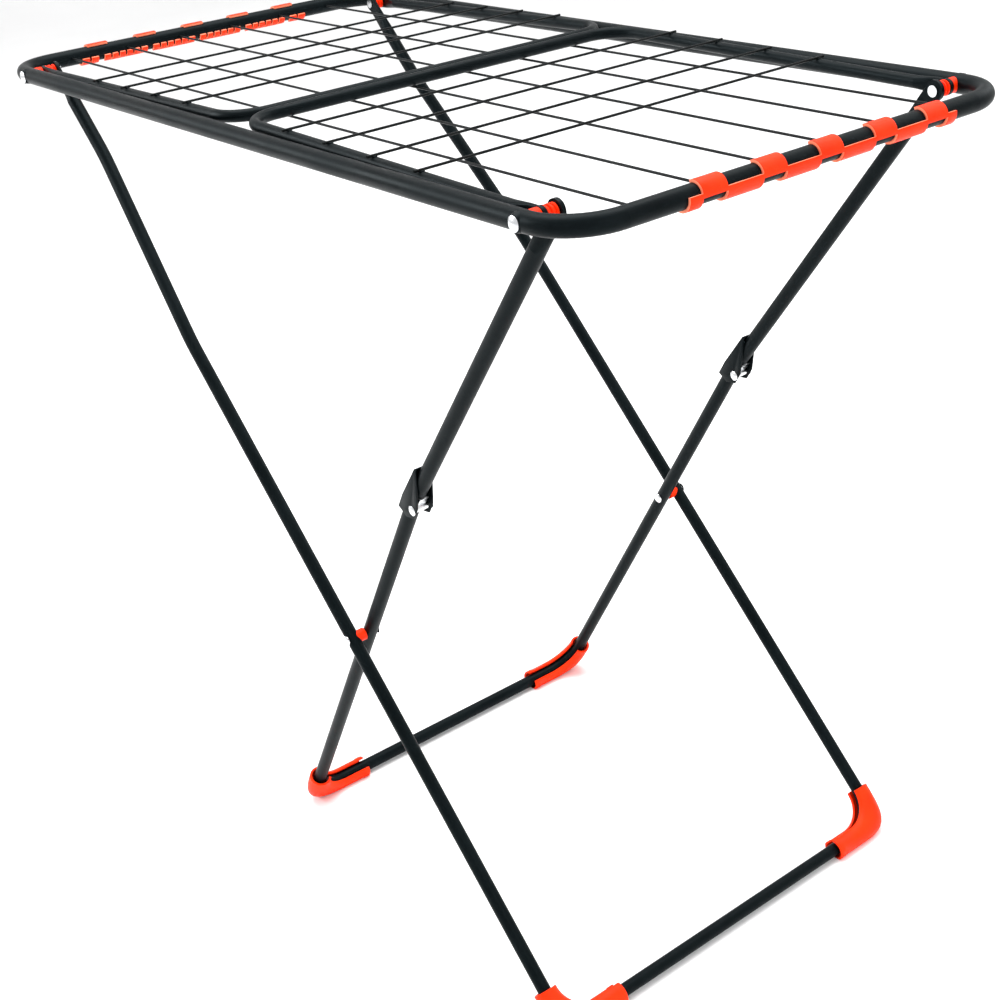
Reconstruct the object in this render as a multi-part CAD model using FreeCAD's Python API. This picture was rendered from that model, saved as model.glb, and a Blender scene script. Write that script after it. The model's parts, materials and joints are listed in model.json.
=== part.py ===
"""Winged clothes drying rack: a tube frame with drying wires, two folding wings and a folding cross leg.

Frame of the part: X runs along the rack's length, Y across its width, Z up.
The origin is on the floor, under the middle of the top frame.  Millimetres.
"""
import FreeCAD, Part
import math
import os

Vector = FreeCAD.Vector

# Top frame
FRAME_LENGTH = 1050.0          # between the centre lines of the two end tubes
FRAME_WIDTH = 500.0            # between the centre lines of the two long tubes
FRAME_Z = 904.0                # height of the frame tube's centre line
FRAME_R = 9.0                  # outer radius of the frame tube
FRAME_BEND = 50.0              # centre line radius of its corners
TUBE_WALL = 0.8
BUTT_GAP = 0.3                 # where the bent tube's two ends meet
SLEEVE_LENGTH = 60.0           # joining sleeve inside those ends

# Drying wires
WIRE_R = 1.25
LONG_WIRES = 6
LONG_PITCH = 71.0
WIRE_INSET = 2.0               # how far a wire's end reaches into the frame tube
CROSS_WIRES = 4
CROSS_FIRST = 99.0             # first cross wire, from the middle of the rack
CROSS_PITCH = 71.0
CROSS_OVERHANG = 1.0           # wire end beyond the wing tube
WELD_SINK = 0.15               # wire pressed into the wing tube at its weld

# Pivots in the frame's long tubes
PIVOT_X = 469.0
RIVET_R = 3.0
RUNNING_GAP = 0.05             # radial clearance of a pin in its hole
SIDE_GAP = 0.3                 # clearance between parts that turn against each other
EAR_THICKNESS = 4.0            # a tube end pressed flat
RIVET_HEAD_R = 6.5
RIVET_HEAD_HEIGHT = 2.6
RIVET_TAIL_R = 5.2
RIVET_TAIL_HEIGHT = 1.6
SPACER_R = 7.0
BUSH_CORE_R = 5.6
BUSH_RIM_R = 7.2
BUSH_RIM_WIDTH = 2.2
WING_OFFSET = 16.5             # wing tube's centre line inside the long tube's
LEG_OFFSET = 32.0              # leg tube's centre line inside the long tube's

# Wings
WING_R = 6.0
WING_BEND = 38.0
WING_MEETING = 13.2            # between the two wings' closed ends
WING_EAR_WIDTH = 15.0
WING_EAR_END = 12.0            # the flat ends this far past the pivot
WING_NECK_END = 34.0           # and the tube is round again from here
VENT_R = 1.25

# Outer leg: a U frame hung from the left pivots
OUTER_R = 7.5
OUTER_FOOT_X = 386.0
FOOT_Z = 10.3                  # centre line of both floor bars
CROSS_PIVOT_DISTANCE = 757.0   # from the left pivot down to the crossing pivot
OUTER_STRAIGHT = 120.0         # leg runs beside the wing down to here
OUTER_SPLAY_END = 370.0        # and is splayed outwards to here
OUTER_SPLAY_OFFSET = 13.5      # its offset from the long tube there
OUTER_FOOT_OFFSET = 4.0        # its offset at the floor
LEG_BEND = 45.0
SPLAY_BEND = 400.0
LEG_EAR_WIDTH = 19.0
LEG_EAR_END = 14.0
LEG_NECK_END = 44.0
CROSS_HEAD_R = 6.0
CROSS_HEAD_HEIGHT = 2.4
CROSS_BUSH_R = 7.0

# Inner leg: a U frame below the knees, and one link above each knee
INNER_R = 8.0
KNEE_TO_CROSS = 252.5          # knee pin to crossing pivot
KNEE_BULGE = 5.0               # knee pin above the line from crossing to frame pivot
KNEE_PIN_OFFSET = 10.0         # pin below the centre lines of both tubes
KNEE_TUBE_GAP = 4.0            # each tube's end stops this far short of the pin

# Knee brackets
BRACKET_WALL = 1.5
BRACKET_BELOW = 16.0
BRACKET_ABOVE = 50.0
BRACKET_SIDE_GAP = 0.3
KNEE_BOLT_R = 2.5
KNEE_SLEEVE_R = 3.4
KNEE_HEAD_R = 5.4
KNEE_HEAD_HEIGHT = 2.2
KNEE_CAP_R = 4.8
KNEE_CAP_HEIGHT = 2.2
BRACKET_EAR = 15.5             # top of the bracket's ears, over the lower tube's centre line
BRACKET_EAR_BACK = 9.0
BRACKET_EAR_FRONT = 7.0
BRACKET_MOUTH = 5.0            # height of the ears' lower ends
BRACKET_TIP = 1.5              # height of the side walls at the top end
LUG_LENGTH = 16.0              # tongue that ties the hinge sleeve to the link
LUG_WIDTH = 10.0
LUG_WALL = 1.6
LUG_DROP = 2.0                 # its upper face above the pin's centre

# End strips
STRIP_WALL = 2.4
TOP_LOBES = 5
TOP_LOBE_LENGTH = 26.0
LOBE_PITCH = 64.5
LOBE_SHIFT = 12.5              # the middle lobe, from the middle of the right end tube
STRIP_SPAN = (-143.0, 166.0)
BAND_ANGLES = (-8.0, 12.0)     # the band that ties the lobes, 0 level and outwards
TOP_LOBE_END = 115.0
BOTTOM_LOBE_END = -155.0

# Foot covers
COVER_WALL = 3.0
COVER_BEND = 16.0              # the corner's outer bulge
COVER_BULGE_START = 39.0       # where the bulge leaves the straight stretches
COVER_BULGE_INSET = 0.5
COVER_ON_LEG = 46.0            # from the floor bar's centre line, up the leg
COVER_ON_BAR = 76.0            # from the leg's centre line, along the bar
COVER_MOUTH = 10.0             # width of the opening on the inside of the bend

HALF_LENGTH = FRAME_LENGTH / 2
HALF_WIDTH = FRAME_WIDTH / 2
WING_Y = HALF_WIDTH - WING_OFFSET
LEG_Y = HALF_WIDTH - LEG_OFFSET
SIDES = (("near", -1), ("far", 1))


def export(name, shape):
    """Write one sub-part."""
    shape.exportStep("parts/%s.step" % name)


def cylinder(radius, start, end):
    """A cylinder between two points."""
    axis = end - start
    return Part.makeCylinder(radius, axis.Length, start, axis)


def group(shapes):
    """Separate solids kept together as one sub-part."""
    return Part.makeCompound(shapes)


def rounded_path(points, radii):
    """A wire of straight runs joined by tangent arcs at the inner points."""
    entry, leave, arcs = {}, {}, {}
    for i in range(1, len(points) - 1):
        corner, radius = points[i], radii[i]
        back = (points[i - 1] - corner).normalize()
        ahead = (points[i + 1] - corner).normalize()
        half = back.getAngle(ahead) / 2
        reach = radius / math.tan(half)
        entry[i] = corner + back * reach
        leave[i] = corner + ahead * reach
        bisector = (back + ahead).normalize()
        middle = corner + bisector * (radius / math.sin(half) - radius)
        arcs[i] = Part.Arc(entry[i], middle, leave[i]).toShape()
    edges = []
    for i in range(1, len(points)):
        start = leave.get(i - 1, points[i - 1])
        edges.append(Part.LineSegment(start, entry.get(i, points[i])).toShape())
        if i in arcs:
            edges.append(arcs[i])
    return Part.Wire(edges)


def swept_rod(path, radius):
    """A round bar along a path."""
    first = path.Edges[0]
    start = first.valueAt(first.FirstParameter)
    along = first.tangentAt(first.FirstParameter)
    ring = Part.Wire(Part.Circle(start, along, radius).toShape())
    return path.makePipeShell([ring], True, False)


def swept_tube(path, radius, wall=TUBE_WALL):
    """A hollow tube along a path, open at both ends."""
    return swept_rod(path, radius).cut(swept_rod(path, radius - wall))


def section(x, half_width, half_thickness):
    """A four-edged section across X: a circle, or a flattened one with round edges."""
    round_section = abs(half_width - half_thickness) < 1e-6
    shift = 0.0 if round_section else half_width - half_thickness
    radius = half_thickness
    spread = 45.0 if round_section else 90.0

    def rim(side, degrees):
        angle = math.radians(degrees)
        return Vector(x, radius * math.sin(angle), side * shift + radius * math.cos(angle))

    def arc(side, first, last):
        return Part.Arc(rim(side, first), rim(side, (first + last) / 2), rim(side, last)).toShape()

    front = arc(1, spread, -spread)
    back = arc(-1, 180 + spread, 180 - spread)
    if round_section:
        lower = arc(1, -spread, -180 + spread)
        upper = arc(1, 180 - spread, spread)
    else:
        lower = Part.LineSegment(rim(1, -spread), rim(-1, 180 + spread)).toShape()
        upper = Part.LineSegment(rim(-1, 180 - spread), rim(1, spread)).toShape()
    return Part.Wire([front, lower, back, upper])


def flattened_ear(radius, width, end_x, neck_x):
    """A tube's end pressed flat across Y, rounded about the origin, and eased back to round."""
    half_thickness = EAR_THICKNESS / 2
    disc = cylinder(width / 2, Vector(0, -half_thickness, 0), Vector(0, half_thickness, 0))
    plate = Part.makeLoft([section(0, width / 2, half_thickness),
                           section(end_x, width / 2, half_thickness)], True, True)
    neck = Part.makeLoft([section(end_x, width / 2, half_thickness),
                          section(neck_x, radius, radius)], True, True)
    hole = cylinder(RIVET_R + RUNNING_GAP, Vector(0, -radius, 0), Vector(0, radius, 0))
    return disc.fuse(plate).fuse(neck).cut(hole)


def placed(shape, degrees, x, z):
    """Turn a shape built along +X about Y, so +X points `degrees` above level, and move it."""
    copy = shape.copy()
    copy.rotate(Vector(0, 0, 0), Vector(0, -1, 0), degrees)
    copy.translate(Vector(x, 0, z))
    return copy


def mirrored_ends(shape):
    """The same shape at the other end of the rack."""
    return shape.mirror(Vector(0, 0, 0), Vector(1, 0, 0))


def long_wire_positions():
    """Y of each long wire, from the near side."""
    first = -LONG_PITCH * (LONG_WIRES - 1) / 2
    return [first + LONG_PITCH * i for i in range(LONG_WIRES)]


# ---- Linkage at rest -------------------------------------------------------------------

LEFT_PIVOT = Vector(-PIVOT_X, 0, FRAME_Z)
RIGHT_PIVOT = Vector(PIVOT_X, 0, FRAME_Z)


def elevation(vector):
    """Angle of a vector in the XZ plane, degrees above +X."""
    return math.degrees(math.atan2(vector.z, vector.x))


def point_along(start, degrees, distance):
    """The point at a distance from a start point in the XZ plane."""
    angle = math.radians(degrees)
    return start + Vector(distance * math.cos(angle), 0, distance * math.sin(angle))


def linkage():
    """Positions and directions of the legs as the rack stands open."""
    foot = Vector(OUTER_FOOT_X, 0, FOOT_Z)
    outer_angle = elevation(foot - LEFT_PIVOT)
    outer_length = (foot - LEFT_PIVOT).Length
    crossing = point_along(LEFT_PIVOT, outer_angle, CROSS_PIVOT_DISTANCE)
    span = RIGHT_PIVOT - crossing
    along = math.sqrt(KNEE_TO_CROSS ** 2 - KNEE_BULGE ** 2)
    direction = elevation(span)
    knee = point_along(point_along(crossing, direction, along), direction + 90, KNEE_BULGE)
    knee_to_frame = (RIGHT_PIVOT - knee).Length
    lower_lean = math.degrees(math.asin(KNEE_PIN_OFFSET / KNEE_TO_CROSS))
    upper_lean = math.degrees(math.asin(KNEE_PIN_OFFSET / knee_to_frame))
    lower_angle = elevation(crossing - knee) + lower_lean
    link_angle = elevation(knee - RIGHT_PIVOT) - upper_lean
    knee_to_crossing = math.sqrt(KNEE_TO_CROSS ** 2 - KNEE_PIN_OFFSET ** 2)
    link_length = math.sqrt(knee_to_frame ** 2 - KNEE_PIN_OFFSET ** 2)
    drop = math.sin(math.radians(lower_angle))
    crossing_to_floor = (FOOT_Z - crossing.z) / drop
    return {
        "outer_angle": outer_angle, "outer_length": outer_length, "crossing": crossing,
        "knee": knee, "lower_angle": lower_angle, "link_angle": link_angle,
        "lower_length": knee_to_crossing + crossing_to_floor,
        "knee_to_crossing": knee_to_crossing, "link_length": link_length,
    }


# ---- Top frame -------------------------------------------------------------------------

def frame_loop():
    """Centre line of the frame tube, starting and ending at the butt under the left strip."""
    ends = BUTT_GAP / 2
    points = [Vector(-HALF_LENGTH, -ends, FRAME_Z), Vector(-HALF_LENGTH, -HALF_WIDTH, FRAME_Z),
              Vector(HALF_LENGTH, -HALF_WIDTH, FRAME_Z), Vector(HALF_LENGTH, HALF_WIDTH, FRAME_Z),
              Vector(-HALF_LENGTH, HALF_WIDTH, FRAME_Z), Vector(-HALF_LENGTH, ends, FRAME_Z)]
    return rounded_path(points, [0] + [FRAME_BEND] * 4 + [0])


def make_frame():
    """The bent frame tube with its pivot and wire holes."""
    tube = swept_tube(frame_loop(), FRAME_R)
    holes = []
    for x in (-PIVOT_X, PIVOT_X):
        for _, side in SIDES:
            holes.append(cylinder(RIVET_R + RUNNING_GAP,
                                  Vector(x, side * (HALF_WIDTH - 2 * FRAME_R), FRAME_Z),
                                  Vector(x, side * (HALF_WIDTH + 2 * FRAME_R), FRAME_Z)))
    for y in long_wire_positions():
        for end in (-1, 1):
            holes.append(cylinder(WIRE_R + RUNNING_GAP,
                                  Vector(end * (HALF_LENGTH - 2 * FRAME_R), y, FRAME_Z),
                                  Vector(end * HALF_LENGTH, y, FRAME_Z)))
    export("main_frame_tube", tube.cut(holes))

    sleeve_r = FRAME_R - TUBE_WALL - RUNNING_GAP
    ends = [Vector(-HALF_LENGTH, side * SLEEVE_LENGTH / 2, FRAME_Z) for _, side in SIDES]
    export("frame_joint_sleeve", cylinder(sleeve_r, *ends).cut(cylinder(sleeve_r - TUBE_WALL, *ends)))


def make_long_wires():
    """Drying wires along the frame, each end pushed into a hole in an end tube."""
    reach = HALF_LENGTH - FRAME_R + WIRE_INSET
    for number, y in enumerate(long_wire_positions(), 1):
        wire = cylinder(WIRE_R, Vector(-reach, y, FRAME_Z), Vector(reach, y, FRAME_Z))
        export("long_wire_%d" % number, wire)


def shell_sector(inner, outer, start, end, y_from, y_to):
    """Part of a round shell about Y, between two angles above +X."""
    edge = Part.makePolygon([Vector(inner, y_from, 0), Vector(outer, y_from, 0),
                             Vector(outer, y_to, 0), Vector(inner, y_to, 0),
                             Vector(inner, y_from, 0)])
    face = Part.Face(edge)
    face.rotate(Vector(0, 0, 0), Vector(0, -1, 0), start)
    return face.revolve(Vector(0, 0, 0), Vector(0, -1, 0), end - start)


def make_end_strips():
    """Castellated plastic strips clipped round the end tubes, fingers above and below in turn."""
    inner, outer = FRAME_R + RUNNING_GAP, FRAME_R + STRIP_WALL
    first, last = STRIP_SPAN
    start = LOBE_SHIFT - LOBE_PITCH * (TOP_LOBES - 1) / 2 - TOP_LOBE_LENGTH / 2
    starts = [start + LOBE_PITCH * i for i in range(TOP_LOBES)]
    lobes = [(start, start + TOP_LOBE_LENGTH) for start in starts]
    strip = shell_sector(inner, outer, BAND_ANGLES[0], BAND_ANGLES[1], first, last)
    for start, end in lobes:
        strip = strip.fuse(shell_sector(inner, outer, BAND_ANGLES[1], TOP_LOBE_END, start, end))
    edges = [first] + [y for lobe in lobes for y in lobe] + [last]
    for start, end in zip(edges[0::2], edges[1::2]):
        strip = strip.fuse(shell_sector(inner, outer, BOTTOM_LOBE_END, BAND_ANGLES[0], start, end))
    strip = strip.removeSplitter()
    strip.translate(Vector(HALF_LENGTH, 0, FRAME_Z))
    export("end_strip_right", strip)
    strip.rotate(Vector(0, 0, 0), Vector(0, 0, 1), 180)
    export("end_strip_left", strip)


def pivot_stack(x, side):
    """Rivet, outer spacer and inner bush of one frame pivot."""
    def at(offset):
        return Vector(x, side * (HALF_WIDTH - offset), FRAME_Z)

    beside_ear = EAR_THICKNESS / 2 + SIDE_GAP
    tail = LEG_OFFSET + beside_ear
    tail_end = at(tail + RIVET_TAIL_HEIGHT)
    rivet = headed_pin(at(-FRAME_R), tail_end, RIVET_HEAD_R, RIVET_HEAD_HEIGHT, RIVET_R)
    rivet = rivet.fuse(cylinder(RIVET_TAIL_R, at(tail), tail_end))

    long_tube = cylinder(FRAME_R, Vector(x - 2 * FRAME_R, side * HALF_WIDTH, FRAME_Z),
                         Vector(x + 2 * FRAME_R, side * HALF_WIDTH, FRAME_Z))
    bore = cylinder(RIVET_R + RUNNING_GAP, at(-FRAME_R), at(tail))
    spacer = cylinder(SPACER_R, at(0), at(WING_OFFSET - beside_ear)).cut(long_tube).cut(bore)

    bush_from = WING_OFFSET + beside_ear
    bush_to = LEG_OFFSET - beside_ear
    bush = cylinder(BUSH_CORE_R, at(bush_from), at(bush_to))
    middle = (bush_from + bush_to) / 2
    for start in (bush_from, middle - BUSH_RIM_WIDTH / 2, bush_to - BUSH_RIM_WIDTH):
        bush = bush.fuse(cylinder(BUSH_RIM_R, at(start), at(start + BUSH_RIM_WIDTH)))
    return rivet, spacer, bush.cut(bore)


def make_pivots():
    """The four pivot stacks, one sub-part for each kind of piece."""
    stacks = [pivot_stack(x, side) for x in (-PIVOT_X, PIVOT_X) for _, side in SIDES]
    for name, shapes in zip(("pivot_rivets", "wing_spacers", "leg_bushes"), zip(*stacks)):
        export(name, group(list(shapes)))


# ---- Wings -----------------------------------------------------------------------------

def wing_tube_local(reach):
    """A wing tube along +X from its pivots, closed end at `reach`."""
    points = [Vector(WING_NECK_END, -WING_Y, 0), Vector(reach, -WING_Y, 0),
              Vector(reach, WING_Y, 0), Vector(WING_NECK_END, WING_Y, 0)]
    tube = swept_tube(rounded_path(points, [0, WING_BEND, WING_BEND, 0]), WING_R)
    vent = cylinder(VENT_R, Vector(reach, 0, -2 * WING_R), Vector(reach, 0, 0))
    tube = tube.cut(vent)
    ear = flattened_ear(WING_R, WING_EAR_WIDTH, WING_EAR_END, WING_NECK_END)
    for _, side in SIDES:
        shifted = ear.copy()
        shifted.translate(Vector(0, side * WING_Y, 0))
        tube = tube.fuse(shifted)
    return tube


def make_wings():
    """Both wings: a U tube with cross wires welded on top, resting on the long wires."""
    reach = PIVOT_X - WING_MEETING / 2
    lift = WIRE_R + WING_R + SIDE_GAP
    rest_angle = math.degrees(math.asin(lift / reach))
    wire_z = WING_R + WIRE_R - WELD_SINK
    half_wire = WING_Y + WING_R + CROSS_OVERHANG
    right = {"tube": wing_tube_local(reach)}
    for number in range(1, CROSS_WIRES + 1):
        x = PIVOT_X - CROSS_FIRST - CROSS_PITCH * (number - 1)
        wire = cylinder(WIRE_R, Vector(x, -half_wire, wire_z), Vector(x, half_wire, wire_z))
        for _, side in SIDES:
            along = Vector(WING_R, 0, 0)
            weld = Vector(x, side * WING_Y, 0)
            wire = wire.cut(cylinder(WING_R, weld - along, weld + along))
        right["wire_%d" % number] = wire
    for name, shape in right.items():
        turned = shape.mirror(Vector(0, 0, 0), Vector(1, 0, 0))
        wing = placed(turned, -rest_angle, PIVOT_X, FRAME_Z)
        export("wing_right_" + name, wing)
        export("wing_left_" + name, mirrored_ends(wing))


# ---- Legs ------------------------------------------------------------------------------

def outer_leg_points(length):
    """Centre line of the outer leg in its own plane, near side first."""
    offsets = [(0.0, LEG_OFFSET), (OUTER_STRAIGHT, LEG_OFFSET),
               (OUTER_SPLAY_END, OUTER_SPLAY_OFFSET), (length, OUTER_FOOT_OFFSET)]
    return [(along, HALF_WIDTH - offset) for along, offset in offsets]


def outer_leg_lean(length):
    """Angle by which the leg's sides still spread below the splay, degrees."""
    drift = OUTER_SPLAY_OFFSET - OUTER_FOOT_OFFSET
    return math.degrees(math.atan2(drift, length - OUTER_SPLAY_END))


def outer_leg_y(length, along):
    """Half width of the outer leg's centre lines, below its splay."""
    start = HALF_WIDTH - OUTER_SPLAY_OFFSET
    end = HALF_WIDTH - OUTER_FOOT_OFFSET
    share = (along - OUTER_SPLAY_END) / (length - OUTER_SPLAY_END)
    return start + share * (end - start)


def make_outer_leg(rest):
    """The outer U leg, its foot covers and its half of the crossing pivots."""
    length, angle = rest["outer_length"], rest["outer_angle"]
    side_points = outer_leg_points(length)
    outline = [Vector(along, -y, 0) for along, y in side_points]
    outline += [Vector(along, y, 0) for along, y in reversed(side_points)]
    outline[0].x = outline[-1].x = LEG_NECK_END
    radii = [0, SPLAY_BEND, SPLAY_BEND, LEG_BEND, LEG_BEND, SPLAY_BEND, SPLAY_BEND, 0]
    tube = swept_tube(rounded_path(outline, radii), OUTER_R)
    ear = flattened_ear(OUTER_R, LEG_EAR_WIDTH, LEG_EAR_END, LEG_NECK_END)
    for _, side in SIDES:
        shifted = ear.copy()
        shifted.translate(Vector(0, side * LEG_Y, 0))
        tube = tube.fuse(shifted)

    crossing_y = outer_leg_y(length, CROSS_PIVOT_DISTANCE)
    lean = outer_leg_lean(length)
    slope = math.tan(math.radians(lean))
    bolts, bushes = [], []
    for _, side in SIDES:
        def at(offset, side=side):
            return Vector(CROSS_PIVOT_DISTANCE, side * (crossing_y + offset), 0)

        bush_end = -(crossing_y - LEG_Y - INNER_R - SIDE_GAP)
        along = Vector(1, side * slope, 0) * 2 * CROSS_BUSH_R
        skin = cylinder(OUTER_R, at(0) - along, at(0) + along)
        hole = cylinder(RIVET_R + RUNNING_GAP, at(2 * OUTER_R), at(bush_end - RIVET_R))
        tube = tube.cut(hole)
        bolts.append(headed_pin(at(OUTER_R), at(bush_end), CROSS_HEAD_R, CROSS_HEAD_HEIGHT, RIVET_R))
        bushes.append(cylinder(CROSS_BUSH_R, at(0), at(bush_end)).cut(skin).cut(hole))
    export("outer_leg_tube", placed(tube, angle, -PIVOT_X, FRAME_Z))
    export("cross_bolts", placed(group(bolts), angle, -PIVOT_X, FRAME_Z))
    export("cross_bushes", placed(group(bushes), angle, -PIVOT_X, FRAME_Z))

    cover = foot_cover(length, HALF_WIDTH - OUTER_FOOT_OFFSET, OUTER_R, lean)
    export_covers("outer_foot_cover", cover, angle, -PIVOT_X, FRAME_Z)


def headed_pin(face, end, head_r, head_height, shank_r):
    """A pin from a face to an end point, with a domed head standing off the face."""
    inward = (end - face).normalize()
    square = inward.cross(Vector(1, 0, 0)).normalize()
    crown = face - inward * head_height
    edge_height = 0.25 * head_height
    brim = face - inward * edge_height + square * head_r
    rise = head_height - edge_height
    dome_r = (head_r ** 2 + rise ** 2) / (2 * rise)
    half_angle = math.asin(head_r / dome_r) / 2
    centre = crown + inward * dome_r
    shoulder = centre + (square * math.sin(half_angle) - inward * math.cos(half_angle)) * dome_r
    profile = Part.Wire([Part.LineSegment(end, crown).toShape(),
                         Part.Arc(crown, shoulder, brim).toShape(),
                         Part.LineSegment(brim, face + square * head_r).toShape(),
                         Part.LineSegment(face + square * head_r, face + square * shank_r).toShape(),
                         Part.LineSegment(face + square * shank_r, end + square * shank_r).toShape(),
                         Part.LineSegment(end + square * shank_r, end).toShape()])
    return Part.Face(profile).revolve(face, inward, 360)


def foot_cover(reach, half_width, tube_r, lean):
    """A plastic elbow cover over one corner of a U leg, open on the inside of the bend."""
    def on_leg(distance):
        return Vector(reach - distance, half_width - distance * math.tan(math.radians(lean)), 0)

    def on_bar(distance):
        return Vector(reach, half_width - distance, 0)

    def bent(leg_distance, bar_distance, bend):
        return rounded_path([on_leg(leg_distance), on_leg(0), on_bar(bar_distance)], [0, bend, 0])

    outer_r = tube_r + COVER_WALL
    body_path = bent(COVER_ON_LEG, COVER_ON_BAR, LEG_BEND)
    bulge_path = bent(COVER_BULGE_START, COVER_BULGE_START, COVER_BEND)
    tube_path = bent(COVER_ON_LEG + LEG_BEND, COVER_ON_BAR + LEG_BEND, LEG_BEND)
    cover = swept_rod(body_path, outer_r).fuse(swept_rod(bulge_path, outer_r - COVER_BULGE_INSET))
    chord = Part.LineSegment(on_bar(COVER_ON_BAR), on_leg(COVER_ON_LEG)).toShape()
    mouth = Part.Face(Part.Wire(body_path.Edges + [chord])).extrude(Vector(0, 0, COVER_MOUTH))
    mouth.translate(Vector(0, 0, -COVER_MOUTH / 2))
    return cover.cut(swept_rod(tube_path, tube_r + RUNNING_GAP)).cut(mouth)


def export_covers(name, cover, angle, x, z):
    """Place a foot cover on both sides and level its sole with the floor."""
    under = FRAME_LENGTH
    floor = Part.makeBox(2 * under, 2 * under, under, Vector(-under, -under, -under))
    far = placed(cover, angle, x, z).cut(floor)
    export(name + "_far", far)
    export(name + "_near", far.mirror(Vector(0, 0, 0), Vector(0, 1, 0)))


def make_inner_leg(rest):
    """The inner U leg below the knees, with its brackets, foot covers and fasteners."""
    length, angle, knee = rest["lower_length"], rest["lower_angle"], rest["knee"]
    centre = point_along(knee, angle - 90, KNEE_PIN_OFFSET)
    points = [Vector(KNEE_TUBE_GAP, -LEG_Y, 0), Vector(length, -LEG_Y, 0),
              Vector(length, LEG_Y, 0), Vector(KNEE_TUBE_GAP, LEG_Y, 0)]
    tube = swept_tube(rounded_path(points, [0, LEG_BEND, LEG_BEND, 0]), INNER_R)
    pins = []
    for _, side in SIDES:
        def at(offset, side=side):
            return Vector(rest["knee_to_crossing"], side * (LEG_Y + offset), 0)

        tube = tube.cut(cylinder(RIVET_R + RUNNING_GAP, at(-2 * INNER_R), at(2 * INNER_R)))
        pins.append(headed_pin(at(-INNER_R), at(INNER_R), CROSS_HEAD_R, CROSS_HEAD_HEIGHT, RIVET_R))
    export("inner_leg_tube", placed(tube, angle, centre.x, centre.z))
    export("cross_bolt_ends", placed(group(pins), angle, centre.x, centre.z))

    bracket = knee_bracket(rest["link_angle"] - rest["lower_angle"])
    for side_name, side in SIDES:
        shifted = bracket.copy()
        shifted.translate(Vector(0, side * LEG_Y, 0))
        export("knee_bracket_" + side_name, placed(shifted, angle, centre.x, centre.z))

    bolts, caps = knee_fasteners()
    export("knee_bolts", placed(group(bolts), angle, centre.x, centre.z))
    export("knee_bolt_caps", placed(group(caps), angle, centre.x, centre.z))
    cover = foot_cover(length, LEG_Y, INNER_R, 0.0)
    export_covers("inner_foot_cover", cover, angle, centre.x, centre.z)


def bracket_outer_half():
    """Half the bracket's outside width."""
    return INNER_R + BRACKET_SIDE_GAP + BRACKET_WALL


def knee_bracket(bend):
    """A folded channel on the inner leg's top, built along +X; its bent back stops the link."""
    turn = math.radians(bend)
    lean = abs(math.tan(turn))
    axis_drop = KNEE_PIN_OFFSET / math.cos(turn) - KNEE_PIN_OFFSET
    back = INNER_R + RUNNING_GAP
    link_back = (INNER_R + SIDE_GAP) / math.cos(turn)

    def stop_line(x):
        """Inner face of the bent back, just behind the standing link."""
        return -axis_drop - x * lean - link_back

    above, below, wall = -BRACKET_ABOVE, BRACKET_BELOW, BRACKET_WALL
    kink = (back - axis_drop - link_back) / lean
    outline = [(below, -back - wall), (kink, -back - wall), (above, stop_line(above) - wall),
               (above, stop_line(above) + BRACKET_TIP), (-BRACKET_EAR_BACK, BRACKET_EAR),
               (BRACKET_EAR_FRONT, BRACKET_EAR), (below, BRACKET_MOUTH)]
    past, over = 1.0, 2 * BRACKET_EAR
    hollow = [(below + past, -back), (kink, -back), (above - past, stop_line(above - past)),
              (above - past, over), (below + past, over)]
    half = bracket_outer_half()
    channel = side_prism(outline, half).cut(side_prism(hollow, half - wall))
    hole = cylinder(KNEE_BOLT_R + RUNNING_GAP, Vector(0, -2 * half, KNEE_PIN_OFFSET),
                    Vector(0, 2 * half, KNEE_PIN_OFFSET))
    return channel.cut(hole)


def side_prism(outline, half_width):
    """A prism across Y from an outline in X and Z."""
    points = [Vector(x, -half_width, z) for x, z in outline]
    face = Part.Face(Part.makePolygon(points + points[:1]))
    return face.extrude(Vector(0, 2 * half_width, 0))


def knee_fasteners():
    """Knee bolts, heads towards the near side, and their push-on caps."""
    half = bracket_outer_half()
    bolts, caps = [], []
    for _, side in SIDES:
        near = Vector(0, side * LEG_Y - half, KNEE_PIN_OFFSET)
        far = Vector(0, side * LEG_Y + half, KNEE_PIN_OFFSET)
        cap_end = far + Vector(0, KNEE_CAP_HEIGHT, 0)
        tip = (far + cap_end) / 2
        bolts.append(headed_pin(near, tip, KNEE_HEAD_R, KNEE_HEAD_HEIGHT, KNEE_BOLT_R))
        caps.append(cylinder(KNEE_CAP_R, far, cap_end).cut(cylinder(KNEE_BOLT_R, far, tip)))
    return bolts, caps


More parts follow.
